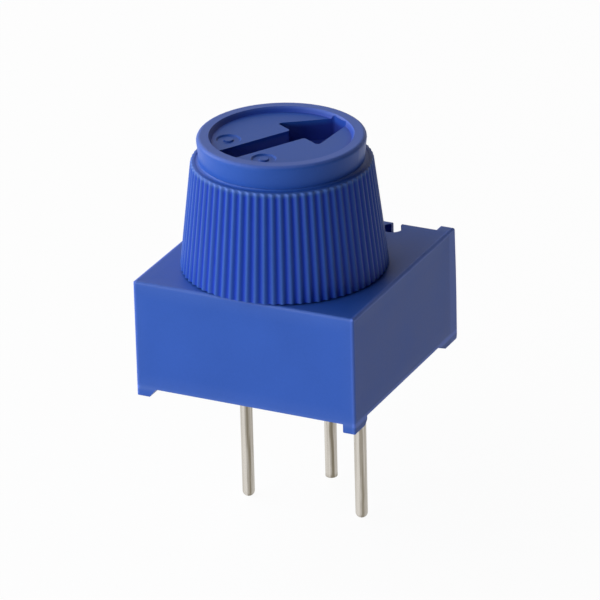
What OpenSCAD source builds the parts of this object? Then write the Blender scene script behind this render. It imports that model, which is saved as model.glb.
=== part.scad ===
// Square single-turn trimmer potentiometer with a fluted finger knob, for a printed circuit board.
// Origin: where the knob's axis meets the board that the feet stand on.
// +Z runs up the knob's axis, +X to the right along the front face, +Y to the back. Millimetres.

/* [Housing] */
// Width over the side faces
body_w = 9.58; // [9.3:0.01:11]
// Knob axis to the front face
front_y = 3.88; // [3.8:0.01:4.6]
// Knob axis to the main back face
back_y = 5.34; // [5.2:0.01:6.4]
// Board to the top face
body_h = 4.98; // [4.9:0.01:6]
// Thickness of the side walls
wall = 0.8; // [0.5:0.01:0.84]
// Thickness of the roof
roof = 1; // [0.9:0.01:1.2]
// Radius of the upright edges and of the edges round the top
edge_r = 0.1; // [0.05:0.01:0.2]
// Depth of the seat that holds the shaft seal
seal_seat_depth = 0.64; // [0.5:0.01:0.74]
// Height of the bearing boss under the roof
boss_h = 0.5; // [0.46:0.01:0.7]
// Thickness of the bearing boss
boss_wall = 0.5; // [0.35:0.01:0.6]

/* [Feet and standoffs] */
// Height of the feet
foot_h = 0.4; // [0.2:0.01:0.6]
// Width of a foot along the front face
foot_w = 0.54; // [0.4:0.01:0.8]
// Length of a front foot along the side face
front_foot_l = 1.1; // [0.8:0.01:1.4]
// Corner cut at the inner end of a front foot
front_foot_bevel = 0.25; // [0.1:0.01:0.35]
// Flat length of a back foot, without its standoff
back_foot_l = 0.48; // [0.3:0.01:0.9]
// Run of the ramp in front of a back foot
back_foot_ramp = 0.85; // [0.5:0.01:1.2]
// Run of the ramp beside a left foot
left_foot_ramp = 0.32; // [0.1:0.01:0.6]
// Width of a back standoff
standoff_w = 0.62; // [0.5:0.01:0.9]
// How far a standoff stands out at the top
standoff_top = 0.43; // [0.3:0.01:0.5]
// How far a standoff stands out above its foot
standoff_base = 0.6; // [0.5:0.01:0.7]
// Bevel at the heel of a standoff
standoff_heel = 0.15; // [0.1:0.01:0.2]

/* [Gate recess] */
// Knob axis to the middle of the recess
recess_x = 2.5; // [2.3:0.01:2.7]
// Back face to the middle of the recess
recess_y = 0.58; // [0.52:0.01:0.7]
// Diameter of the recess
recess_d = 0.86; // [0.7:0.01:1]
// Depth of the recess
recess_depth = 0.46; // [0.3:0.01:0.6]
// Width of the gap where the recess opens to the back
recess_gap = 0.42; // [0.3:0.01:0.6]

/* [Finger knob] */
// Radius over the ridges at the bottom
knob_r = 4.14; // [4:0.01:4.4]
// Radius over the ridges at the top
knob_top_r = 3.61; // [3.59:0.01:3.7]
// Height of the knob
knob_h = 4.44; // [4:0.01:5.4]
// Radius of the rounded top edge
knob_edge_r = 0.1; // [0.05:0.01:0.12]
// Number of flutes
flutes = 72; // [48:1:76]
// Width of a flute at the ridges' crests
flute_w = 0.22; // [0.16:0.01:0.24]
// Width of a flute's floor
flute_floor_w = 0.12; // [0.06:0.01:0.15]
// Depth of a flute
flute_depth = 0.12; // [0.08:0.01:0.13]
// Radius of the mouth round the head
mouth_r = 3.43; // [3.4:0.01:3.45]
// Depth of the mouth
mouth_h = 0.3; // [0.2:0.01:0.35]
// Thickness of the fluted wall at the bottom
knob_wall = 0.9; // [0.7:0.01:1.1]
// Radius of the hub round the shaft
hub_r = 2.45; // [2.2:0.01:2.6]
// Thickness of the web that joins hub and wall
web = 0.8; // [0.5:0.01:1.2]

/* [Rotor] */
// Radius of the head at its top
head_r = 3.37; // [3.3:0.01:3.38]
// How much the head narrows to its lower edge
head_taper = 0.1; // [0:0.01:0.12]
// Height of the head
head_h = 0.96; // [0.9:0.01:1.3]
// Gap between the knob's top and the head's lower edge
head_gap = 0.07; // [0.04:0.01:0.15]
// Radius of the neck under the head
neck_r = 3.12; // [2.9:0.01:3.15]
// Radius of the head's top edge
head_edge_r = 0.15; // [0.05:0.01:0.2]
// Width of the raised rim, without the slope at its inside
rim_w = 0.5; // [0.35:0.01:0.55]
// Run of that slope
rim_run = 0.12; // [0.05:0.01:0.2]
// Height of the raised rim
rim_h = 0.2; // [0.1:0.01:0.25]
// Radius of the shaft
shaft_r = 1.75; // [1.6:0.01:1.8]
// Distance over the shaft's two flats
shaft_flats = 2.9; // [2.6:0.01:3.1]
// Radius of the shaft's tail, which carries the wiper carrier
tail_r = 1.1; // [0.9:0.01:1.2]
// Distance over the tail's two flats
tail_flats = 1.7; // [1.5:0.01:1.8]
// Direction of the arrow slot, from +X towards +Y, in degrees
arrow_angle = 60; // [30:1:90]

/* [Arrow slot] */
// Depth of the slot below the face
slot_depth = 0.85; // [0.4:0.01:0.9]
// Width of the slot's stem
slot_w = 0.98; // [0.6:0.01:1.2]
// Width over the barbs
barb_w = 2.84; // [2.2:0.01:3.1]
// Knob axis to the back of the barbs
barb_a = 0.76; // [0.4:0.01:1]
// Width of the arrow's nose
nose_w = 0.86; // [0.5:0.01:1.2]
// Radius of the slot's corners
slot_corner_r = 0.12; // [0.05:0.01:0.16]
// Diameter of the two round dimples beside the stem
dimple_d = 1; // [0.6:0.01:1.1]
// Diameter of the mound left in the middle of a dimple
dimple_core_d = 0.36; // [0.2:0.01:0.4]
// Depth of the dimples
dimple_depth = 0.06; // [0.03:0.01:0.08]
// Knob axis to a dimple, against the arrow's direction
dimple_a = 1.68; // [1.6:0.01:1.7]
// Arrow's centre line to a dimple
dimple_b = 1.23; // [1.15:0.01:1.3]

/* [Travel stop] */
// Whole travel of the knob, in degrees
travel = 310; // [290:1:320]
// Radial width of the stop rib and lug
stop_w = 0.4; // [0.3:0.01:0.45]
// Overlap in height of the rib and the lug
stop_overlap = 0.38; // [0.3:0.01:0.4]
// Thickness of the wiper carrier
carrier_h = 0.6; // [0.5:0.01:0.65]

/* [Element] */
// Thickness of the ceramic substrate
substrate_t = 0.8; // [0.6:0.01:0.9]
// Thickness of the printed films
film_t = 0.04; // [0.03:0.01:0.06]
// Mean radius of the resistance track
track_r = 1.8; // [1.75:0.01:1.85]
// Width of the resistance track
track_w = 0.7; // [0.5:0.01:0.75]
// Angle that the track covers, in degrees
track_angle = 280; // [260:1:286]
// Width of the corner posts that the substrate rests against
post_w = 0.85; // [0.6:0.01:1]
// Radius of the centre collector
collector_r = 0.9; // [0.7:0.01:1]
// Width of the conductors
conductor_w = 0.45; // [0.3:0.01:0.5]
// Thickness of the potting under the substrate
potting_t = 0.45; // [0.35:0.01:0.5]
// Depth of the potting's face above the housing's lower edge
potting_step = 0.08; // [0.05:0.01:0.15]
// Thickness of the wiper's spring sheet
spring_t = 0.1; // [0.08:0.01:0.12]
// Width of the spring's ring
spring_w = 0.6; // [0.5:0.01:0.7]
// Run of a wiper finger from the bend near its root to its contact
finger_run = 1.2; // [1:0.01:1.3]
// Width of one wiper finger
finger_w = 0.18; // [0.14:0.01:0.2]
// Gap between two fingers
finger_gap = 0.06; // [0.05:0.01:0.07]
// Radius of the studs that hold the spring on its carrier
stud_r = 0.14; // [0.1:0.01:0.16]
// Number of fingers on the track
fingers = 3; // [2:1:3]

/* [Pins] */
// Diameter of a pin
pin_d = 0.51; // [0.45:0.01:0.55]
// Distance between the two end pins
pin_pitch = 5.08; // [5:0.01:5.2]
// Knob axis to the row of the end pins
pin_row_y = 1.27; // [1.2:0.01:1.4]
// End pins' row to the wiper pin
wiper_pin_offset = 2.54; // [2.4:0.01:2.6]
// Length of the end pins below the board's surface
pin_l = 6.35; // [3:0.01:7]
// How much shorter the wiper pin is
wiper_pin_cut = 0.22; // [0:0.01:0.4]
// Width of the collar that the potting grips
collar_w = 0.16; // [0.1:0.01:0.2]
// How far the collar stands out of the potting
collar_step = 0.1; // [0.05:0.01:0.2]
// Width of the pads round a pin
pad_w = 0.3; // [0.25:0.01:0.34]
// Height of the solder round a pin
solder_h = 0.16; // [0.1:0.01:0.2]

/* [Fits] */
// Radial clearance of the shaft in the roof
bearing_gap = 0.04; // [0.02:0.01:0.08]
// Clearance between parts that are seated together
seat_gap = 0.02; // [0.01:0.01:0.03]
// Running clearance between the knob's parts and the housing
running_gap = 0.06; // [0.04:0.01:0.1]

/* [Hidden] */
$fn = 96;
OVER = 0.1; // how far a cut runs past the face that it opens

// Levels, counted up from the board
potting_z = foot_h + potting_step;
substrate_z = potting_z + potting_t;
element_z = substrate_z + substrate_t;
film_z = element_z + film_t;
ceiling_z = body_h - roof;
boss_z = ceiling_z - boss_h;
seal_floor_z = body_h - seal_seat_depth;
knob_z = body_h + running_gap;
knob_top_z = knob_z + knob_h;
mouth_z = knob_top_z - mouth_h;
head_z = knob_top_z + head_gap;
head_top_z = head_z + head_h;
face_z = head_top_z - rim_h;
carrier_top_z = boss_z - running_gap;
carrier_z = carrier_top_z - carrier_h;
rib_z = carrier_top_z + running_gap;
lug_z = rib_z + stop_overlap;
spring_z = carrier_z - spring_t;
contact_z = film_z + seat_gap;
collar_z = potting_z - collar_step;
pin_top_z = film_z + solder_h + film_t;

// Plan sizes
half_w = body_w / 2;
cavity_half_w = half_w - wall;
cavity_front = -front_y + wall;
cavity_back = back_y - wall;
bore_r = shaft_r + bearing_gap;
boss_r = bore_r + boss_wall;
stop_r = boss_r + running_gap + stop_w / 2;
stop_out_r = stop_r + stop_w / 2;
carrier_r = stop_out_r + running_gap;
seal_minor_r = (seal_seat_depth + running_gap) / 2 - seat_gap;
seal_major_r = shaft_r + seat_gap + seal_minor_r;
seal_seat_r = seal_major_r + seal_minor_r + seat_gap;
knob_slope = (knob_r - knob_top_r) / knob_h;
rim_in_r = head_r - rim_w;
face_r = rim_in_r - rim_run;
spring_in_r = tail_r + 2 * spring_t;
spring_out_r = spring_in_r + spring_w;
finger_pitch = finger_w + finger_gap;
finger_l = finger_run + 4 * spring_t; // from a finger's root to its contact
pin_r = pin_d / 2;
pad_r = pin_r + pad_w;
pin_x = pin_pitch / 2;
wiper_pin_y = pin_row_y + wiper_pin_offset;

// The travel is centred on the arrow pointing straight back, and the wiper is opposite the arrow.
wiper_angle = arrow_angle + 180;
stop_play = 0.5; // left between rib and lug at both ends of the travel
stop_angle = (360 - travel - stop_play) / 2;
end_pin_angle = atan2(pin_row_y, pin_x);
end_pin_r = norm([pin_x, pin_row_y]);
track_end_angle = (track_angle - 180) / 2;
terminal_from = track_end_angle + 0.3;
terminal_to = travel / 2 - 90 + 2; // just past the wiper's last position
flute_phase = 1; // turn of the first flute from the arrow, in degrees

// The smallest turn that has the same effect
function shortest(turn) = turn - 360 * round(turn / 360);

// Points of an arc
function arc(centre, r, from, turn, steps) =
    [for (i = [0:steps]) let (a = from + turn * i / steps) centre + r * [cos(a), sin(a)]];

// A corner of an outline as an arc that touches the sides to the points before and after it
function rounded(before, corner, after, r, steps = 4) =
    let (
        u = (before - corner) / norm(before - corner),
        v = (after - corner) / norm(after - corner),
        half = acos(u * v) / 2,
        centre = corner + (u + v) / norm(u + v) * r / sin(half),
        p = corner + u * r / tan(half) - centre,
        q = corner + v * r / tan(half) - centre,
        from = atan2(p[1], p[0])
    ) arc(centre, r, from, shortest(atan2(q[1], q[0]) - from), steps);

// An outline with every corner rounded
function softened(points, r) =
    let (n = len(points))
    [for (i = [0:n - 1]) each rounded(points[(i + n - 1) % n], points[i], points[(i + 1) % n], r)];

module box(x, y, z) {
    translate([x[0], y[0], z[0]]) cube([x[1] - x[0], y[1] - y[0], z[1] - z[0]]);
}

module disc(r, z) {
    translate([0, 0, z[0]]) cylinder(r = r, h = z[1] - z[0]);
}

// A flat sector of a ring, from one angle to another
module ring_sector(r, w, angles, z) {
    rotate([0, 0, angles[0]])
        rotate_extrude(angle = angles[1] - angles[0])
            translate([r - w / 2, z[0]]) square([w, z[1] - z[0]]);
}

// A round bar with two flats along the arrow's direction, cut from its top down to flats_z
module flatted_bar(r, flats, z, flats_z) {
    difference() {
        disc(r, z);
        for (side = [0, 180])
            rotate([0, 0, arrow_angle + side])
                box([-r - OVER, r + OVER], [flats / 2, r + OVER], [flats_z, z[1] + OVER]);
    }
}

module at_end_pins() {
    for (side = [-1, 1]) translate([side * pin_x, pin_row_y, 0]) children();
}

module at_wiper_pin() {
    translate([0, wiper_pin_y, 0]) children();
}

// Housing: a moulded box, open below, with the bearing, the stop rib and the posts for the substrate

module body_outline() {
    polygon(softened([[-half_w, -front_y], [half_w, -front_y], [half_w, back_y], [-half_w, back_y]], edge_r));
}

// Front or side view of the body above its feet, with the edges round the top rounded
module body_view(from, to) {
    low_from = [from, foot_h];
    high_from = [from, body_h];
    low_to = [to, foot_h];
    high_to = [to, body_h];
    polygon(concat([low_from, low_to], rounded(low_to, high_to, high_from, edge_r),
        rounded(high_to, high_from, low_from, edge_r)));
}

// What the plan, a front view and a side view have in common. The views are (x, z) and (y, z).
module of_views(z) {
    past_back = back_y + standoff_base + OVER;
    intersection() {
        translate([0, 0, z[0]]) linear_extrude(z[1] - z[0]) children(0);
        translate([0, past_back, 0]) rotate([90, 0, 0])
            linear_extrude(front_y + past_back + OVER) children(1);
        translate([-half_w - OVER, 0, 0]) rotate([90, 0, 90]) linear_extrude(body_w + 2 * OVER) children(2);
    }
}

// Side view of a front and a back foot
module foot_sides() {
    front = -front_y + front_foot_l;
    back = back_y - back_foot_l;
    top = foot_h + OVER;
    polygon(concat([[-front_y, top]], rounded([-front_y, top], [-front_y, 0], [front, 0], edge_r),
        [[front - front_foot_bevel, 0], [front, front_foot_bevel], [front, top]]));
    polygon(concat([[back - back_foot_ramp, top], [back - back_foot_ramp, foot_h], [back, 0]],
        rounded([back, 0], [back_y, 0], [back_y, top], edge_r), [[back_y, top]]));
}

// Front view of a left and a right foot
module foot_fronts() {
    left = -half_w + foot_w;
    right = half_w - foot_w;
    top = foot_h + OVER;
    polygon(concat([[-half_w, top]], rounded([-half_w, top], [-half_w, 0], [left, 0], edge_r),
        [[left, 0], [left + left_foot_ramp, foot_h], [left + left_foot_ramp, top]]));
    polygon(concat([[right, top], [right, 0]],
        rounded([right, 0], [half_w, 0], [half_w, top], edge_r), [[half_w, top]]));
}

// One of the two ribs on the back, on which the part can also stand on its side
module standoff() {
    root = back_y - wall / 2;
    tip = back_y + standoff_base;
    inner = half_w - standoff_w;
    of_views([0, body_h]) {
        polygon(softened([[inner, root], [half_w, root], [half_w, tip], [inner, tip]], edge_r));
        polygon(softened([[inner, 0], [half_w, 0], [half_w, body_h], [inner, body_h]], edge_r));
        polygon(softened([[root, 0], [tip - standoff_heel, 0], [tip, foot_h],
            [back_y + standoff_top, body_h], [root, body_h]], edge_r));
    }
}

// A round pocket in the top, open to the back by a narrower gap
module gate_recess() {
    z = [body_h - recess_depth, body_h + OVER];
    middle = back_y - recess_y;
    translate([recess_x, middle, 0]) disc(recess_d / 2, z);
    box([recess_x - recess_gap / 2, recess_x + recess_gap / 2], [middle, back_y + OVER], z);
}

// Posts in the cavity's corners, which the substrate is pushed up against
module corner_posts() {
    z = [element_z, ceiling_z + OVER];
    inner_x = cavity_half_w - post_w;
    outer_x = cavity_half_w + OVER;
    for (x = [[-outer_x, -inner_x], [inner_x, outer_x]]) {
        box(x, [cavity_front - OVER, cavity_front + post_w], z);
        box(x, [cavity_back - post_w, cavity_back + OVER], z);
    }
}

module housing() {
    color("royalblue") difference() {
        union() {
            difference() {
                union() {
                    of_views([foot_h, body_h]) {
                        body_outline();
                        body_view(-half_w, half_w);
                        body_view(-front_y, back_y);
                    }
                    of_views([0, foot_h + OVER]) {
                        body_outline();
                        foot_fronts();
                        foot_sides();
                    }
                    standoff();
                    mirror([1, 0, 0]) standoff();
                }
                box([-cavity_half_w, cavity_half_w], [cavity_front, cavity_back], [-OVER, ceiling_z]);
            }
            disc(boss_r, [boss_z, ceiling_z + OVER]);
            ring_sector((boss_r - OVER + stop_out_r) / 2, stop_out_r - boss_r + OVER,
                [90 - stop_angle / 2, 90 + stop_angle / 2], [rib_z, ceiling_z + OVER]);
            corner_posts();
        }
        disc(bore_r, [boss_z - OVER, body_h + OVER]);
        disc(seal_seat_r, [seal_floor_z, body_h + OVER]);
        gate_recess();
    }
}

// Rotor: the slotted head, its neck, the shaft and the tail, in one moulding

// Along X: the stem starts at the edge of the face, and the nose runs into the rim's slope
module arrow_slot() {
    stem_end = -sqrt(pow(face_r - seat_gap, 2) - pow(slot_w / 2, 2));
    nose_end = sqrt(pow(rim_in_r - seat_gap, 2) - pow(nose_w / 2, 2));
    right = [[stem_end, -slot_w / 2], [barb_a, -slot_w / 2], [barb_a, -barb_w / 2], [nose_end, -nose_w / 2]];
    left = [for (i = [3:-1:0]) [right[i][0], -right[i][1]]];
    translate([0, 0, face_z - slot_depth]) linear_extrude(slot_depth + rim_h + OVER)
        polygon(softened(concat(right, left), slot_corner_r));
}

// Ring-shaped, with sloping sides round a mound
module dimples() {
    run = dimple_depth / 2;
    for (side = [-1, 1]) translate([-dimple_a, side * dimple_b, face_z])
        rotate_extrude(convexity = 2)
            polygon([[dimple_core_d / 2 - run, OVER], [dimple_core_d / 2, 0],
                [dimple_core_d / 2 + run, -dimple_depth], [dimple_d / 2 - 2 * run, -dimple_depth],
                [dimple_d / 2, 0], [dimple_d / 2, OVER]]);
}

module head() {
    low_r = head_r - head_taper;
    top = [rim_in_r, head_top_z];
    difference() {
        rotate_extrude()
            polygon(concat([[0, mouth_z], [neck_r, mouth_z], [neck_r, head_z], [low_r, head_z]],
                rounded([low_r, head_z], [head_r, head_top_z], top, head_edge_r),
                [top, [face_r, face_z], [0, face_z]]));
        rotate([0, 0, arrow_angle]) {
            arrow_slot();
            dimples();
        }
    }
}

module rotor() {
    color("mediumblue") {
        head();
        flatted_bar(shaft_r, shaft_flats, [carrier_top_z, mouth_z + OVER], knob_z);
        flatted_bar(tail_r, tail_flats, [carrier_z, carrier_top_z + OVER], carrier_z - OVER);
    }
}

// Finger knob: a fluted sleeve that the head holds down on the shaft's flats

// A keystone bar that leans with the knob's side. The flutes fade out in the rounded top edge.
module flute_cutter() {
    lean = atan(knob_slope);
    floor_w = flute_floor_w / 2;
    open_w = floor_w + (flute_w - flute_floor_w) / 2 * (flute_depth + OVER) / flute_depth;
    translate([knob_r, 0, 0]) rotate([0, -lean, 0]) translate([0, 0, -OVER])
        linear_extrude(knob_h / cos(lean) + 3 * OVER)
            polygon([[-flute_depth, -floor_w], [OVER, -open_w], [OVER, open_w], [-flute_depth, floor_w]]);
}

module finger_knob() {
    recess_h = knob_h - mouth_h - web;
    recess_r = knob_r - knob_wall;
    mouth_low_r = neck_r + running_gap;
    mouth_slope = (mouth_r - mouth_low_r) / mouth_h;
    color("royalblue") difference() {
        translate([0, 0, knob_z]) difference() {
            rotate_extrude()
                polygon(concat([[0, 0], [knob_r, 0]],
                    rounded([knob_r, 0], [knob_top_r, knob_h], [0, knob_h], knob_edge_r),
                    [[0, knob_h]]));
            translate([0, 0, knob_h - mouth_h])
                cylinder(r1 = mouth_low_r, r2 = mouth_r + OVER * mouth_slope, h = mouth_h + OVER);
            rotate_extrude()
                polygon([[hub_r, -OVER], [recess_r + OVER * knob_slope, -OVER],
                    [recess_r - recess_h * knob_slope, recess_h], [hub_r, recess_h]]);
            for (i = [0:flutes - 1])
                rotate([0, 0, arrow_angle + flute_phase + i * 360 / flutes]) flute_cutter();
        }
        flatted_bar(shaft_r + seat_gap, shaft_flats + 2 * seat_gap, [knob_z - OVER, mouth_z + OVER],
            knob_z - 2 * OVER);
    }
}

// Wiper carrier: the disc on the shaft's tail, with the lug that meets the stop rib

module carrier_studs(r, z) {
    for (angle = [150, 210])
        rotate([0, 0, wiper_angle + angle])
            translate([(spring_in_r + spring_out_r) / 2, 0, 0]) disc(r, z);
}

module wiper_carrier() {
    color("mediumblue") {
        difference() {
            disc(carrier_r, [carrier_z, carrier_top_z]);
            flatted_bar(tail_r + seat_gap, tail_flats + 2 * seat_gap,
                [carrier_z - OVER, carrier_top_z + OVER], carrier_z - 2 * OVER);
        }
        ring_sector(stop_r, stop_w, [wiper_angle - stop_angle / 2, wiper_angle + stop_angle / 2],
            [carrier_top_z - OVER, lug_z]);
        carrier_studs(stud_r, [spring_z - seat_gap, carrier_z + OVER]);
    }
}

// Wiper spring: a sheet ring with fingers that drop to the track and to the collector

// Runs along X from its root, down to a contact at X = 0 and up to its curled tip
module finger(width) {
    low = [[-finger_l, spring_z], [-finger_run, spring_z], [-spring_t, contact_z + 0.3 * spring_t],
        [0, contact_z], [spring_t, contact_z + 0.3 * spring_t], [3 * spring_t, contact_z + 2 * spring_t]];
    high = [for (i = [len(low) - 1:-1:0]) low[i] + [0, spring_t]];
    translate([0, width / 2, 0]) rotate([90, 0, 0]) linear_extrude(width) polygon(concat(low, high));
}

module wiper_spring() {
    tab_end = track_r + finger_pitch * (fingers - 1) / 2 + finger_w / 2;
    color("gold") rotate([0, 0, wiper_angle]) {
        difference() {
            union() {
                disc(spring_out_r, [spring_z, carrier_z]);
                box([spring_in_r / 2, tab_end], [-finger_l, -finger_run], [spring_z, carrier_z]);
            }
            disc(spring_in_r, [spring_z - OVER, carrier_z + OVER]);
            rotate([0, 0, -wiper_angle])
                carrier_studs(stud_r + seat_gap, [spring_z - OVER, carrier_z + OVER]);
        }
        for (i = [0:fingers - 1])
            translate([track_r + finger_pitch * (i - (fingers - 1) / 2), 0, 0])
                rotate([0, 0, 90]) finger(finger_w);
        rotate([0, 0, -90]) finger(2 * finger_w);
    }
}

// Shaft seal
module o_ring() {
    color("dimgray") translate([0, 0, seal_floor_z + seat_gap + seal_minor_r])
        rotate_extrude() translate([seal_major_r, 0]) circle(seal_minor_r);
}

// Element: the ceramic, and the films that are printed and fired on it

module pin_holes(z) {
    at_end_pins() disc(pin_r + seat_gap, z);
    at_wiper_pin() disc(pin_r + seat_gap, z);
}

module substrate() {
    gap = 2 * seat_gap;
    color("white") difference() {
        box([-cavity_half_w + gap, cavity_half_w - gap], [cavity_front + gap, cavity_back - gap],
            [substrate_z, element_z]);
        pin_holes([substrate_z - OVER, element_z + OVER]);
    }
}

module resistance_track() {
    color("dimgray")
        ring_sector(track_r, track_w, [-180 - track_end_angle, track_end_angle], [element_z, film_z]);
}

module collector_track() {
    color("silver") difference() {
        union() {
            disc(collector_r, [element_z, film_z]);
            box([-conductor_w / 2, conductor_w / 2], [0, wiper_pin_y], [element_z, film_z]);
            at_wiper_pin() disc(pad_r, [element_z, film_z]);
        }
        pin_holes([element_z - OVER, film_z + OVER]);
    }
}

// The conductor from the right end of the track to its pin
module end_terminal() {
    low = end_pin_r - conductor_w / 2;
    high = end_pin_r + conductor_w / 2;
    color("silver") difference() {
        union() {
            translate([0, 0, element_z]) linear_extrude(film_t)
                polygon(concat(
                    arc([0, 0], track_r - track_w / 2, terminal_to, terminal_from - terminal_to, 6),
                    arc([0, 0], low, terminal_from, end_pin_angle - terminal_from, 12),
                    arc([0, 0], high, end_pin_angle, terminal_to - end_pin_angle, 18)));
            translate([pin_x, pin_row_y, 0]) disc(pad_r, [element_z, film_z]);
        }
        pin_holes([element_z - OVER, film_z + OVER]);
    }
}

module solder_joint() {
    inner = pin_r + seat_gap;
    outer = pad_r - 2 * seat_gap;
    color("silver") rotate_extrude()
        polygon([[inner, film_z], [outer, film_z], [(inner + outer) / 2, film_z + solder_h / 3],
            [inner + (outer - inner) / 4, film_z + solder_h * 0.8], [inner, film_z + solder_h]]);
}

// Pins: round wires with a collar that the potting grips

module pin(length, tip_r) {
    color("silver") rotate_extrude()
        polygon(concat([[0, -length]],
            rounded([0, -length], [pin_r, -length], [pin_r, 0], tip_r, 8),
            [[pin_r, collar_z], [pin_r + collar_w, collar_z], [pin_r + collar_w, substrate_z],
            [pin_r, substrate_z], [pin_r, pin_top_z], [0, pin_top_z]]));
}

module epoxy_seal() {
    z = [potting_z - OVER, substrate_z + OVER];
    color("darkslateblue") difference() {
        box([-cavity_half_w, cavity_half_w], [cavity_front, cavity_back], [potting_z, substrate_z]);
        at_end_pins() disc(pin_r + collar_w + seat_gap, z);
        at_wiper_pin() disc(pin_r + collar_w + seat_gap, z);
    }
}

housing();
rotor();
finger_knob();
wiper_carrier();
wiper_spring();
o_ring();
substrate();
resistance_track();
collector_track();
mirror([1, 0, 0]) end_terminal();  // end_terminal_1
end_terminal();  // end_terminal_3
translate([-pin_x, pin_row_y, 0]) solder_joint();  // solder_joint_1
translate([0, wiper_pin_y, 0]) solder_joint();  // solder_joint_2
translate([pin_x, pin_row_y, 0]) solder_joint();  // solder_joint_3
translate([-pin_x, pin_row_y, 0]) pin(pin_l, pin_r - 0.01);  // pin_1
translate([0, wiper_pin_y, 0]) pin(pin_l - wiper_pin_cut, 0.04);  // pin_2
translate([pin_x, pin_row_y, 0]) pin(pin_l, pin_r - 0.01);  // pin_3
epoxy_seal();
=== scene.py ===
from math import cos, radians, sin

import bpy
import numpy as np
from mathutils import Matrix, Vector


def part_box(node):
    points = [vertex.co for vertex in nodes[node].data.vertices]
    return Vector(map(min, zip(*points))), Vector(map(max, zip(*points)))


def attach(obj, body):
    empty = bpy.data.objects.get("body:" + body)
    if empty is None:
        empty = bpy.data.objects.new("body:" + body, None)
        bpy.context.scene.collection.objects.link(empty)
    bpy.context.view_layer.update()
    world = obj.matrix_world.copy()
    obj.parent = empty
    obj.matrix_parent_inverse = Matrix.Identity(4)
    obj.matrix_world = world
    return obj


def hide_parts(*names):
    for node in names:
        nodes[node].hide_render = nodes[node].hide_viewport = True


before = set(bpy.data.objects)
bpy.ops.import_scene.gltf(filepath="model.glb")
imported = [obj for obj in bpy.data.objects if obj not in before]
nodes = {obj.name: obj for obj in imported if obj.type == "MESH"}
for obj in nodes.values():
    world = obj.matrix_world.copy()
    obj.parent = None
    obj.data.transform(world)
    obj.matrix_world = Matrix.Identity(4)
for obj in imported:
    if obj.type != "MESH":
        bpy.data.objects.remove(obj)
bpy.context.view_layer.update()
mm = 0.001
print("trimmer: frame loaded,", len(nodes), "nodes")


# camera: a long lens at the front right, looking down on the part

cameraSpec = {
    "azimuth": 26.068,  # degrees from straight ahead, to the right
    "elevation": 24.362,
    "roll": -1.457,
    "lens": 328.9,
    "sensor": 36.0,
    "aim": (0.0, 0.9055, 4.98),  # mm, the middle of the housing's top face
    "distance": 217.7,  # mm, back from there
    "sideways": 0.213,
    "upwards": -1.814,
    "clip": (0.01, 10.0),  # metres
}


def makeCamera(spec):
    az, el, roll = (radians(spec[key]) for key in ("azimuth", "elevation", "roll"))
    right = Vector((cos(az), sin(az), 0))
    back = Vector((sin(az) * cos(el), -cos(az) * cos(el), sin(el)))
    up = back.cross(right)
    across = cos(roll) * right + sin(roll) * up
    above = cos(roll) * up - sin(roll) * right
    shift = spec["sideways"] * across + spec["upwards"] * above + spec["distance"] * back
    place = (Vector(spec["aim"]) + shift) * mm
    camera = bpy.data.objects.new("camera", bpy.data.cameras.new("camera"))
    camera.data.lens, camera.data.sensor_width = spec["lens"], spec["sensor"]
    camera.data.clip_start, camera.data.clip_end = spec["clip"]
    turn = Matrix((across, above, back)).transposed().to_4x4()
    camera.matrix_world = Matrix.Translation(place) @ turn
    bpy.context.scene.collection.objects.link(camera)
    bpy.context.scene.camera = camera


makeCamera(cameraSpec)


# shaders: arithmetic on sockets

class Value:  # a node's output, with arithmetic that adds Math nodes
    def __init__(self, tree, socket):
        self.tree, self.socket = tree, socket

    def maths(self, operation, *others):
        sockets = dict(enumerate((self,) + others))
        return self.tree.node("ShaderNodeMath", {"operation": operation}, sockets)

    def __add__(self, other):
        return self.maths("ADD", other)

    def __sub__(self, other):
        return self.maths("SUBTRACT", other)

    def __mul__(self, other):
        return self.maths("MULTIPLY", other)

    def __rsub__(self, other):
        return self.maths("MULTIPLY_ADD", -1.0, other)

    __radd__ = __add__

    def magnitude(self):
        return self.maths("ABSOLUTE")

    def larger(self, other):
        return self.maths("MAXIMUM", other)

    def clamped(self):
        return self.larger(0.0).maths("MINIMUM", 1.0)

    def fading(self, full, gone):  # 1 at full and beyond it, 0 at gone, straight between the two
        return ((gone - self) * (1 / (gone - full))).clamped()


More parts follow.
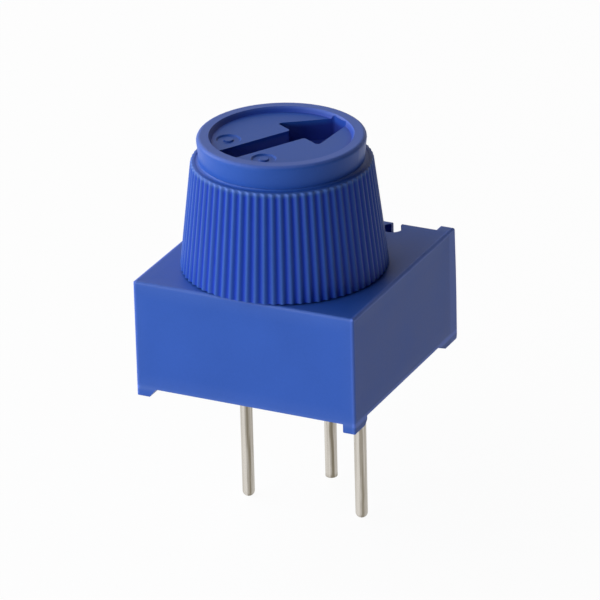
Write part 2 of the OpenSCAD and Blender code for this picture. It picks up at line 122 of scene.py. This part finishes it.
class ShaderTree:  # a node tree that is filled by calls
    def __init__(self, owner):
        owner.use_nodes = True
        self.nodes, self.links = owner.node_tree.nodes, owner.node_tree.links
        self.nodes.clear()

    def node(self, kind, settings, sockets, output=0):
        made = self.nodes.new(kind)
        for key, value in settings.items():
            setattr(made, key, value)
        for key, value in sockets.items():
            if isinstance(value, Value):
                self.links.new(value.socket, made.inputs[key])
            else:
                made.inputs[key].default_value = value
        return Value(self, made.outputs[output]) if made.outputs else None

    def place(self, scale=(1, 1, 1)):  # object coordinates in millimetres, stretched by scale
        spot = self.node("ShaderNodeTexCoord", {}, {}, output="Object")
        sockets = {"Vector": spot, "Scale": [factor / mm for factor in scale]}
        return self.node("ShaderNodeMapping", {}, sockets)

    def split(self):  # the three coordinates in millimetres
        apart = self.nodes.new("ShaderNodeSeparateXYZ")
        self.links.new(self.place().socket, apart.inputs[0])
        return [Value(self, part) for part in apart.outputs]

    def noise(self, place, scale, detail=2.0, rough=0.5):
        sockets = {"Vector": place, "Scale": scale, "Detail": detail, "Roughness": rough}
        return self.node("ShaderNodeTexNoise", {}, sockets)

    def mixed(self, factor, *colours):
        sockets = {"Factor": factor}
        for key, colour in zip((6, 7), colours):  # the mix node's two colour sockets
            sockets[key] = colour if isinstance(colour, Value) else (*colour, 1)
        settings = {"data_type": "RGBA", "clamp_factor": True}
        return self.node("ShaderNodeMix", settings, sockets, output=2)

    def bumped(self, height, strength, distance):  # distance in mm
        sockets = {"Height": height, "Strength": strength, "Distance": distance * mm}
        return self.node("ShaderNodeBump", {}, sockets)

    def surface(self, sockets):
        shader = self.node("ShaderNodeBsdfPrincipled", {}, sockets)
        self.node("ShaderNodeOutputMaterial", {}, {"Surface": shader})


def linear(shade):  # display values from 0 to 255 to linear colour
    parts = [part / 255 for part in shade]
    return tuple(part / 12.92 if part < 0.04045 else ((part + 0.055) / 1.055) ** 2.4
                 for part in parts)


def newMaterial(name):
    material = bpy.data.materials.new(name)
    return material, ShaderTree(material)


# moulded blue plastic of the housing, the knob and the head: faint clouds and a fine grain

plasticSpec = {
    "housing": {"colour": (38, 82, 172), "rough": 0.46, "gloss": 0.23, "mottle": 0.06,
                "grainScale": 9.0, "grainHeight": 0.0032},
    "knob": {"colour": (44, 84, 165), "rough": 0.42, "gloss": 0.16, "mottle": 0.05,
             "grainScale": 14.0, "grainHeight": 0.0016},
    "head": {"colour": (38, 82, 171), "rough": 0.42, "gloss": 0.20, "mottle": 0.05,
             "grainScale": 12.0, "grainHeight": 0.0016},
}  # scales are per mm, heights in mm
textureSpec = {
    "cloudScale": 0.45,
    "detail": 3.0,
    "grainRough": 0.6,
    "cloudWeight": 1.4,  # in the colour, against 1 for the grain
    "middle": 0.7,
    "lift": 0.002,  # what the palest plastic has over its share
    "roughByCloud": 0.1,
    "roughByGrain": 0.12,
}


def mouldedPlastic(name, spec, *shaded):
    # each of shaded(tree) gives how far a point takes another colour, and that colour
    texture = textureSpec
    material, tree = newMaterial(name)
    place = tree.place()
    clouds = tree.noise(place, texture["cloudScale"], texture["detail"])
    grain = tree.noise(place, spec["grainScale"], texture["detail"], texture["grainRough"])
    base = linear(spec["colour"])
    low = tuple(part * (1 - spec["mottle"]) for part in base)
    high = tuple(part * (1 + spec["mottle"]) + texture["lift"] for part in base)
    colour = tree.mixed(clouds * texture["cloudWeight"] + grain - texture["middle"], low, high)
    for part in shaded:
        share, shade = part(tree)
        colour = tree.mixed(share, colour, shade if isinstance(shade, Value) else linear(shade))
    uneven = (clouds - 0.5) * texture["roughByCloud"] + (grain - 0.5) * texture["roughByGrain"]
    tree.surface({
        "Base Color": colour,
        "Roughness": spec["rough"] + uneven,
        "Specular IOR Level": spec["gloss"],
        "Normal": tree.bumped(grain * spec["grainHeight"], 1.0, 1.0),
    })
    return material


# the finger knob: a turned form with soft flutes round its side, with painted shade at the
# bottom of the flutes and a painted highlight along the top edge

knobSpec = {
    "lowRadius": 4.14,  # mm, at the crests between the flutes
    "topRadius": 3.61,
    "height": 4.44,
    "edgeRadius": 0.1,
    "edgeSteps": 8,
    "sideSteps": 4,
    "inside": ((3.24, 0.0), (2.84, 3.34), (2.45, 3.34), (2.45, 0.0), (1.77, 0.0), (1.77, 4.14),
               (3.18, 4.14), (3.43, 4.44)),  # radius and height of the recess, bore and mouth
    "flutes": 72,
    "phase": 2.0,  # degrees from +X to the middle of a flute
    "depth": 0.07,
    "fluteSteps": 12,
    "groovePaintedShade": (0, 48, 168),
    "grooveShare": 0.95,
    "grooveUnder": (0.03, 0.08),  # mm under the flutes' floor, where the painted shade fades
    "grooveTop": (0.225, 0.1),  # mm under the knob's top
    "paintedHighlightShade": (110, 142, 216),
    "paintedHighlightShare": 0.3,
    "paintedHighlightTop": 0.05,  # mm under the knob's top
    "paintedHighlightWidth": 0.1,
    "paintedHighlightRadii": (3.53, 3.43),
}
knobLow, knobHigh = (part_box("finger_knob")[end].z / mm for end in (0, 1))
knobSlope = (knobSpec["lowRadius"] - knobSpec["topRadius"]) / knobSpec["height"]


def distance(x, y):  # from the knob's axis
    return (x * x + y * y).maths("SQRT")


def underCone(radius, height):  # depth under the cone of the crests, at a height over its foot
    return knobSpec["lowRadius"] - height * knobSlope - radius


# painted shade: the flutes' floors are darkened where shade would fall in them
def knobGroovePaintedShade(tree):
    x, y, z = tree.split()
    depth, top = knobSpec["depth"], knobSpec["grooveTop"]
    below = underCone(distance(x, y), z - knobLow)
    within = below.fading(*(depth + under for under in knobSpec["grooveUnder"]))
    share = within * z.fading(knobHigh - top[0], knobHigh - top[1]) * knobSpec["grooveShare"]
    return below.fading(depth, 0.0) * share, knobSpec["groovePaintedShade"]


# painted highlight: a paler band along the knob's top edge, where it catches the light
def knobTopPaintedHighlight(tree):
    x, y, z = tree.split()
    near = (z - (knobHigh - knobSpec["paintedHighlightTop"])).magnitude().fading(0.0, knobSpec["paintedHighlightWidth"])
    onEdge = distance(x, y).fading(*knobSpec["paintedHighlightRadii"])
    return near * onEdge * knobSpec["paintedHighlightShare"], knobSpec["paintedHighlightShade"]


# the housing: painted highlights make its edges a little paler

edgeHighlightSpec = {
    "wallBottom": 0.4,  # mm
    "wallBack": 5.34,
    "bands": ((0.16, 0.22), (0.7, 0.15)),  # width in mm and how far the painted highlight colour is taken
    "upright": 0.4,  # of that on the upright edges
    "shade": (92, 120, 190),
    "sideHighlightFade": (0.048, 0.168),  # mm from the edge
    "sideHighlightShare": 0.65,
    "sideHighlightShade": (108, 140, 240),
}
housingLow, housingHigh = (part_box("housing")[end] / mm for end in (0, 1))


def offPlanes(tree):  # distance to the nearest of the two sides, of front and back, of top and foot
    x, y, z = tree.split()
    front, back = housingLow.y, edgeHighlightSpec["wallBack"]
    offSides = housingHigh.x - x.magnitude()
    offFaces = (back - front) / 2 - (y - (front + back) / 2).magnitude()
    offFoot, offTop = (z - edgeHighlightSpec["wallBottom"]).magnitude(), (housingHigh.z - z).magnitude()
    return offSides, offFaces, offFoot.maths("MINIMUM", offTop)


# painted highlight along the housing's edges, where the rounded edges catch light
def housingEdgePaintedHighlight(tree):
    planes, total = offPlanes(tree), 0.0
    for width, share in edgeHighlightSpec["bands"]:
        sides, faces, ends = (off.fading(0.0, width) for off in planes)
        upright = sides * faces * edgeHighlightSpec["upright"]
        total = upright.larger(ends * sides.larger(faces)) * share + total
    return total, edgeHighlightSpec["shade"]


def sideEdgePaintedHighlight(tree):  # a stronger painted highlight along the edges of the two sides
    sides, faces, ends = (off.fading(*edgeHighlightSpec["sideHighlightFade"]) for off in offPlanes(tree))
    share = (faces * edgeHighlightSpec["upright"]).larger(ends) * edgeHighlightSpec["sideHighlightShare"]
    return sides * share, edgeHighlightSpec["sideHighlightShade"]


# the head: painted shade in the arrow slot and in the crease round the sunk face, a little
# paler on the rim; heights are over the sunk face, in mm

headSpec = {
    "rimHeight": 0.2,
    "rimFade": (0.16, 0.0933),
    "rimShade": (126, 144, 220),
    "rimShare": 0.2,
    "creaseRadius": 2.76,
    "creaseWidth": 0.2,
    "creaseFade": (0.08, 0.28),
    "creasePaintedShade": (28, 46, 156),
    "creaseShare": 0.5,
    "slotAzimuth": 60.0,  # degrees from +X to the arrow's tip
    "slotFade": (-0.25, -0.0833),
    "slotRadii": (2.95, 3.0),
    "slotShare": 0.9,
    "slotStemPaintedShade": (82, 100, 174),
    "slotTipPaintedShade": (38, 54, 140),
    "slotBlend": (1.75, 0.5),  # mm from the axis towards the tip
}
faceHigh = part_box("rotor")[1].z / mm - headSpec["rimHeight"]


def headRim(tree):
    high = tree.split()[2] - faceHigh
    return high.fading(*headSpec["rimFade"]) * headSpec["rimShare"], headSpec["rimShade"]


# painted shade in the crease round the sunk face
def headCreasePaintedShade(tree):
    x, y, z = tree.split()
    off = (distance(x, y) - headSpec["creaseRadius"]).magnitude()
    near = off.fading(0.0, headSpec["creaseWidth"])
    share = near * (z - faceHigh).fading(*headSpec["creaseFade"]) * headSpec["creaseShare"]
    return share, headSpec["creasePaintedShade"]


def headSlotPaintedShade(tree):  # painted shade on the slot's walls and floor, darker towards the arrow's tip
    x, y, z = tree.split()
    azimuth = radians(headSpec["slotAzimuth"])
    within = distance(x, y).fading(*headSpec["slotRadii"])
    share = (z - faceHigh).fading(*headSpec["slotFade"]) * within * headSpec["slotShare"]
    towards = (x * cos(azimuth) + y * sin(azimuth)).fading(*headSpec["slotBlend"])
    return share, tree.mixed(towards, *(linear(headSpec[key]) for key in ("slotStemPaintedShade", "slotTipPaintedShade")))


# tinned wire: streaks drawn along the wire, a dark flank and a duller side painted as reflections,
# a sheared end

wireSpec = {
    "bright": (212, 207, 199),
    "dark": (132, 124, 108),
    "rough": 0.24,
    "paintedReflection": {"azimuth": -56.0, "width": 24.0, "share": 0.8},  # degrees from +X, either side
    "dullPaintedReflection": {"azimuth": 10.0, "width": 75.0, "share": 0.45},
    "streaks": {"scale": (9, 9, 0.15), "detail": 4.0, "rough": 0.7, "middle": 0.45, "share": 1.6},
    "lines": {"scale": (26, 26, 0.5), "share": 0.5},
    "wander": {"scale": (0.2, 0.2, 0.6), "turn": 0.6},  # radians that the painted reflection bands turn
    "shearedLength": 0.2,  # mm
    "shearedShare": 0.45,
    "roughByDark": 0.14,
    "roughByLines": 0.12,
    "bump": (0.6, 0.006),
}


def tinnedWire(name, spec, low, high):  # low and high: the pin's corners in metres
    material, tree = newMaterial(name)
    middle = (low + high) / 2 / mm
    x, y, z = tree.split()
    streak, line, wander = spec["streaks"], spec["lines"], spec["wander"]
    streaks = tree.noise(tree.place(streak["scale"]), 1.0, streak["detail"], streak["rough"])
    lines = tree.noise(tree.place(line["scale"]), 1.0)
    wandering = (tree.noise(tree.place(wander["scale"]), 1.0) - 0.5) * wander["turn"]
    turn = (y - middle.y).maths("ARCTAN2", x - middle.x) + wandering

    def side(paintedReflection):  # full at its azimuth, none past its width
        off = (turn - radians(paintedReflection["azimuth"])).magnitude() * (1 / radians(paintedReflection["width"]))
        return (1.0 - off * off).clamped() * paintedReflection["share"]

    sheared = (z - low.z / mm).fading(0.0, spec["shearedLength"]) * spec["shearedShare"]
    drawn = (streaks - streak["middle"]) * streak["share"] + (lines - 0.5) * line["share"]
    # painted reflections darken one flank and the duller side, with the drawn streaks and the
    # sheared end
    dark = (side(spec["paintedReflection"]) + side(spec["dullPaintedReflection"]) + drawn + sheared).clamped()
    uneven = dark * spec["roughByDark"] + (lines - 0.5) * spec["roughByLines"]
    tree.surface({
        "Base Color": tree.mixed(dark, linear(spec["bright"]), linear(spec["dark"])),
        "Metallic": 1.0,
        "Roughness": spec["rough"] + uneven,
        "Normal": tree.bumped(lines + streaks, *spec["bump"]),
    })
    return material


# the pieces inside the housing: paler and darker specks

innerSpec = {
    "epoxy_seal": {"colour": (38, 62, 128), "rough": 0.22, "scale": 1.3, "bump": 0.25},
    "substrate": {"colour": (236, 233, 224), "rough": 0.55, "scale": 6.0, "bump": 0.10},
    "resistance_track": {"colour": (24, 24, 27), "rough": 0.45, "scale": 9.0, "bump": 0.15},
    "o_ring": {"colour": (22, 22, 23), "rough": 0.60, "scale": 7.0, "bump": 0.10},
}
metalSpec = {
    "conductorFilm": {"colour": (206, 204, 196), "rough": 0.42, "scale": 8.0, "bump": 0.20},
    "springMetal": {"colour": (214, 178, 104), "rough": 0.24, "scale": 5.0, "bump": 0.05},
    "solder": {"colour": (196, 196, 194), "rough": 0.33, "scale": 4.0, "bump": 0.15},
}
metalNodes = {
    "conductorFilm": ("collector_track", "end_terminal_1", "end_terminal_3"),
    "springMetal": ("wiper_spring",),
    "solder": ("solder_joint_1", "solder_joint_2", "solder_joint_3"),
}
speckSpec = {
    "detail": 4.0,
    "blend": (0.75, 0.25),
    "dark": 0.9,
    "pale": 1.08,
    "rough": 0.15,
    "bumpDistance": 0.02,  # mm
}


def speckled(name, spec, metallic=0.0):
    material, tree = newMaterial(name)
    spots = tree.noise(tree.place(), spec["scale"], speckSpec["detail"])
    dark, pale = (tuple(min(1.0, part * speckSpec[key]) for part in linear(spec["colour"]))
                  for key in ("dark", "pale"))
    tree.surface({
        "Base Color": tree.mixed(spots.fading(*speckSpec["blend"]), dark, pale),
        "Metallic": metallic,
        "Roughness": spec["rough"] + (spots - 0.5) * speckSpec["rough"],
        "Normal": tree.bumped(spots, spec["bump"], speckSpec["bumpDistance"]),
    })
    return material


def dress(material, *names):
    for name in names:
        slots = nodes[name].material_slots
        if not slots:
            nodes[name].data.materials.append(material)
        for slot in slots:
            slot.material = material


housingPlastic = mouldedPlastic("housingPlastic", plasticSpec["housing"], housingEdgePaintedHighlight, sideEdgePaintedHighlight)
knobPlastic = mouldedPlastic("knobPlastic", plasticSpec["knob"], knobGroovePaintedShade, knobTopPaintedHighlight)
headPlastic = mouldedPlastic("headPlastic", plasticSpec["head"], headRim, headCreasePaintedShade, headSlotPaintedShade)
dress(housingPlastic, "housing")
dress(knobPlastic, "finger_knob")
dress(headPlastic, "rotor", "wiper_carrier")
for name in ("pin_1", "pin_2", "pin_3"):
    dress(tinnedWire(name + "Tin", wireSpec, *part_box(name)), name)
for name, spec in innerSpec.items():
    dress(speckled(name + "Finish", spec), name)
for name, spec in metalSpec.items():
    dress(speckled(name, spec, 1.0), *metalNodes[name])
print("trimmer: finishes made")


# turned pieces: the knob, and a skirt under the head that closes the gap to the knob's mouth

skirtSpec = {
    "profile": ((3.15, 0.06), (3.265, 0.06), (3.28, 0.02), (3.31, -0.005), (3.45, -0.02),
                (3.45, -0.12), (3.15, -0.12)),  # radius and height over the knob's top, in mm
    "turns": 160,
}
sharpEdge = 35.0  # degrees between two faces


def turned(name, profile, turns, depth=0.0, flutes=0, phase=0.0):
    # point (i, j): profile point j turned about Z by i steps and drawn in by
    # depth * (1 + cos(flutes * turn)) / 2; closed both ways, the profile running down outside
    radius, height = np.array(profile).T
    angle = np.arange(turns) * 2 * np.pi / turns
    wave = (1 + np.cos(flutes * (angle - radians(phase)))) / 2
    drawn = radius - np.outer(wave, np.broadcast_to(depth, radius.shape))
    spots = np.stack([np.cos(angle)[:, None] * drawn, np.sin(angle)[:, None] * drawn,
                      np.broadcast_to(height, drawn.shape)], axis=-1).reshape(-1, 3) * mm
    count = len(height)
    i, j = np.meshgrid(np.arange(turns), np.arange(count), indexing="ij")
    nextI, nextJ = (i + 1) % turns, (j + 1) % count
    corners = np.stack([i * count + j, i * count + nextJ, nextI * count + nextJ,
                        nextI * count + j], axis=-1).reshape(-1, 4)
    mesh = bpy.data.meshes.new(name)
    mesh.from_pydata(spots.tolist(), [], corners.tolist())
    mesh.validate()
    mesh.shade_smooth()
    mesh.set_sharp_from_angle(angle=radians(sharpEdge))
    piece = bpy.data.objects.new(name, mesh)
    bpy.context.scene.collection.objects.link(piece)
    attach(piece, "knob")
    return piece


def makeKnob(spec):
    edge, high = spec["edgeRadius"], spec["height"]
    middle = underCone(edge * (1 + knobSlope ** 2) ** 0.5, high - edge)
    corner = [(middle + edge * cos(turn), high - edge + edge * sin(turn))
              for turn in np.linspace(np.pi / 2, np.arctan(knobSlope), spec["edgeSteps"])]
    side = [(underCone(0, at), at) for at in np.linspace(high, 0, spec["sideSteps"] + 1)[1:]]
    outside = np.array(corner + side)
    profile = np.concatenate([outside, spec["inside"]])
    depth = np.zeros(len(profile))
    depth[:len(outside)] = np.clip(spec["depth"] - underCone(*outside.T), 0, None)
    profile[:, 1] += knobLow
    turns = spec["flutes"] * spec["fluteSteps"]
    knob = turned("fingerKnob", profile, turns, depth, spec["flutes"], spec["phase"])
    knob.data.materials.append(knobPlastic)
    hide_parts("finger_knob")


def makeSkirt(spec):
    profile = [(radius, knobHigh + height) for radius, height in spec["profile"]]
    skirt = turned("headSkirt", profile, spec["turns"])
    skirt.data.materials.append(headPlastic)


makeKnob(knobSpec)
makeSkirt(skirtSpec)
print("trimmer: turned pieces made")


# floor, world and lamps: a white sweep, low soft windows at the left and the front, and
# weaker ones high up

studioSpec = {
    "floorSize": 3.0,  # metres
    "floorShade": 0.85,
    "floorWhite": 0.94,  # share of plain white in what the camera sees of the floor
    "floorGlow": 0.19,
    "worldMirrored": 0.85,  # share of plain white that glossy surfaces find above the horizon
    "lamps": {  # azimuth and elevation in degrees, distance, width and height in metres, watts
        "leftWindow": (-165, 11, 0.5, 0.34, 0.19, 1.56),
        "frontWindow": (-116, 10, 0.5, 0.36, 0.18, 1.3),
        "highWindow": (-132, 45, 0.5, 0.40, 0.30, 0.86),
        "backFill": (155, 45, 0.5, 0.40, 0.30, 0.72),
    },
}
white = (1, 1, 1, 1)


def seenByEye(tree, mirrored=1.0):  # 1 where the camera sees the background, less in a mirror
    camera, glossy, through = [tree.node("ShaderNodeLightPath", {}, {}, output=kind) for kind
                               in ("Is Camera Ray", "Is Glossy Ray", "Is Transmission Ray")]
    return (camera + (glossy + through) * mirrored).clamped()


def makeLamp(name, azimuth, elevation, away, width, height, power):
    az, el = radians(azimuth), radians(elevation)
    towards = Vector((cos(az) * cos(el), sin(az) * cos(el), sin(el)))
    lamp = bpy.data.objects.new(name, bpy.data.lights.new(name, "AREA"))
    lamp.data.shape, lamp.data.energy = "RECTANGLE", power
    lamp.data.size, lamp.data.size_y = width, height
    lamp.location = towards * away
    lamp.rotation_mode = "QUATERNION"
    lamp.rotation_quaternion = towards.to_track_quat("Z", "Y")
    bpy.context.scene.collection.objects.link(lamp)


def makeFloor(spec):
    half, low = spec["floorSize"] / 2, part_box("pin_1")[0].z
    around = [(-half, -half, low), (half, -half, low), (half, half, low), (-half, half, low)]
    mesh = bpy.data.meshes.new("floor")
    mesh.from_pydata(around, [], [(0, 1, 2, 3)])
    floor = bpy.data.objects.new("floor", mesh)
    bpy.context.scene.collection.objects.link(floor)
    material, tree = newMaterial("floorWhite")
    matt = tree.node("ShaderNodeBsdfDiffuse", {}, {"Color": (spec["floorShade"],) * 3 + (1,)})
    glow, plain = (tree.node("ShaderNodeEmission", {}, {"Color": white, "Strength": strength})
                   for strength in (spec["floorGlow"], 1.0))
    lit = tree.node("ShaderNodeAddShader", {}, {0: matt, 1: glow})
    seen = seenByEye(tree) * spec["floorWhite"]
    both = tree.node("ShaderNodeMixShader", {}, {0: seen, 1: lit, 2: plain})
    tree.node("ShaderNodeOutputMaterial", {}, {"Surface": both})
    mesh.materials.append(material)


def makeWorld(spec):
    world = bpy.data.worlds.new("studio")
    bpy.context.scene.world = world
    tree = ShaderTree(world)
    seen = seenByEye(tree, spec["worldMirrored"])
    glow = tree.node("ShaderNodeBackground", {}, {"Color": white, "Strength": seen})
    tree.node("ShaderNodeOutputWorld", {}, {"Surface": glow})


makeFloor(studioSpec)
makeWorld(studioSpec)
for name, lamp in studioSpec["lamps"].items():
    makeLamp(name, *lamp)
bpy.context.scene.view_settings.view_transform = "Standard"
print("trimmer: studio ready")
